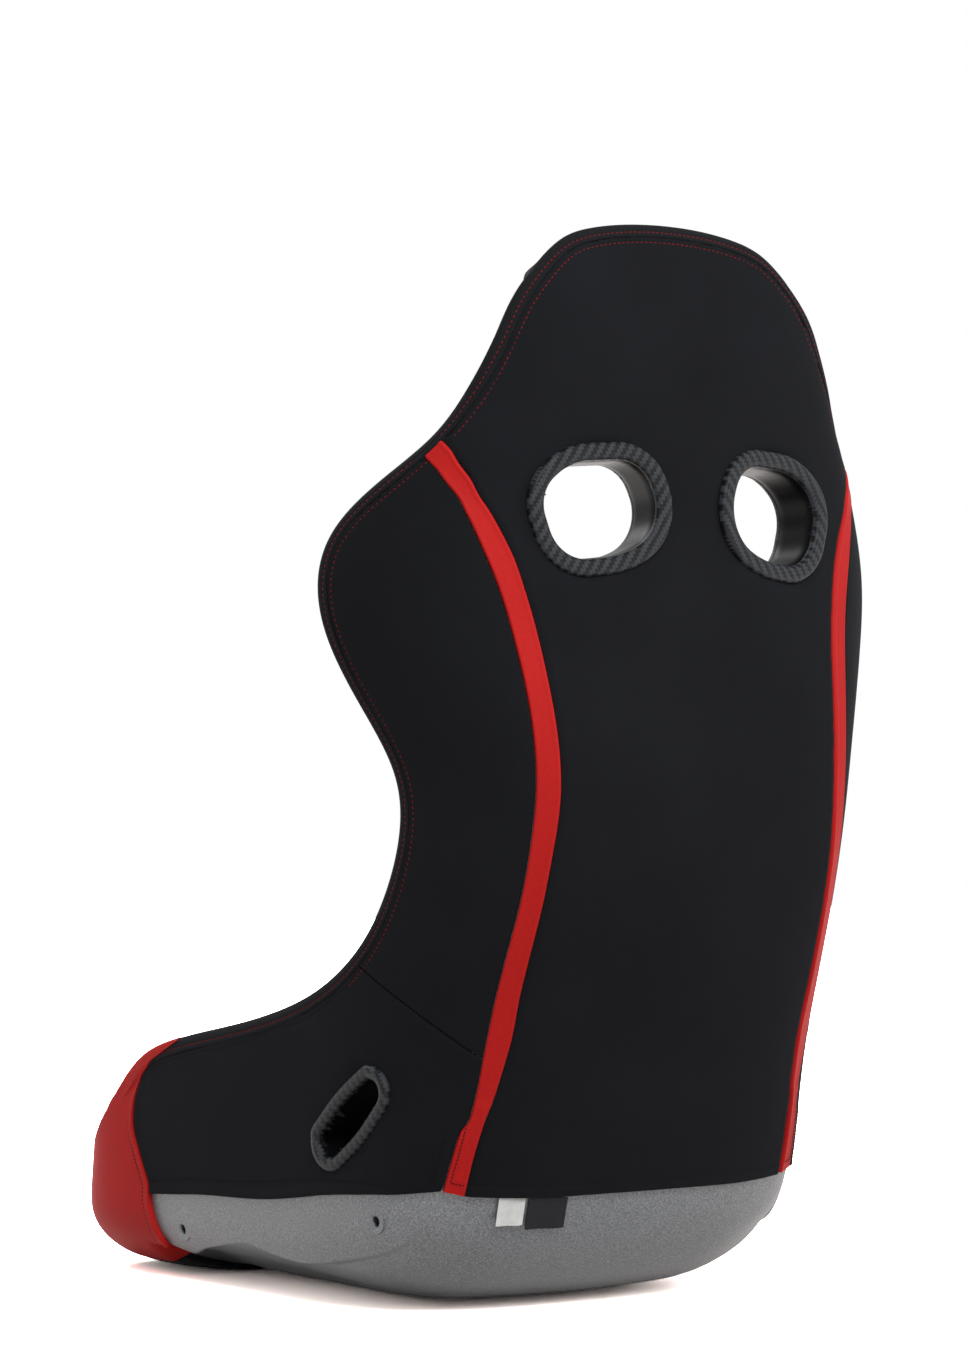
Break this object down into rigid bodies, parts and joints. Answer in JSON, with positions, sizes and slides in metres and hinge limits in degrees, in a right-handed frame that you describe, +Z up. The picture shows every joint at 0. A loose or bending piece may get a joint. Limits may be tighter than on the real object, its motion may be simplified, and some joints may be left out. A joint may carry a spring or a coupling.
{
  "type": "fixed-back bucket seat",
  "caption": "Fixed-back racing bucket seat: moulded composite tub, knit covers with leather stripes, belt openings with rings, bolstered pads and threaded side mounts.",
  "frame": {"origin": "centre of the flat resting patch under the tub, on the floor", "axes": "+Z up from the floor, +Y from the knees towards the back, +X to the occupant's left; the seat stands as it rests on its own underside, about 6 degrees nose down"},
  "size_m": [0.522, 0.6626, 0.8747],
  "materials": {
    "tub": "speckled gel coat over glass fibre",
    "knit": "matte fine knit",
    "red_leather": "fine grain",
    "binding": "matte woven edge",
    "ring": "twill pattern, satin",
    "tunnel": "gloss black",
    "pad": "matte knit over foam",
    "steel": "zinc plated",
    "label_white": "woven label",
    "label_black": "woven label"
  },
  "bodies": {
    "root": {"shell": "tub", "back_cover": "knit", "upper_side_left": "knit", "upper_side_right": "knit", "lower_side_left": "knit", "lower_side_right": "knit", "stripe_left": "red_leather", "stripe_right": "red_leather", "front_cap_left": "red_leather", "front_cap_right": "red_leather", "underside_flap": "binding", "edge_trim": "binding", "shoulder_ring_left": "ring", "shoulder_ring_right": "ring", "shoulder_ring_front_left": "ring", "shoulder_ring_front_right": "ring", "shoulder_tunnel_left": "tunnel", "shoulder_tunnel_right": "tunnel", "lap_ring_left": "ring", "lap_ring_right": "ring", "lap_ring_inner_left": "ring", "lap_ring_inner_right": "ring", "lap_tunnel_left": "tunnel", "lap_tunnel_right": "tunnel", "crotch_ring": "ring", "crotch_tunnel": "tunnel", "head_pad": "pad", "upper_back_pad": "pad", "lumbar_pad": "pad", "shoulder_bolster_left": "pad", "shoulder_bolster_right": "pad", "waist_bolster_left": "pad", "waist_bolster_right": "pad", "thigh_bolster_left": "pad", "thigh_bolster_right": "pad", "seat_cushion": "pad", "front_thigh_pad": "pad", "mount_plate_left": "steel", "mount_plate_right": "steel", "mount_nut": "steel", "label_light": "label_white", "label_dark": "label_black"}
  },
  "joints": []
}
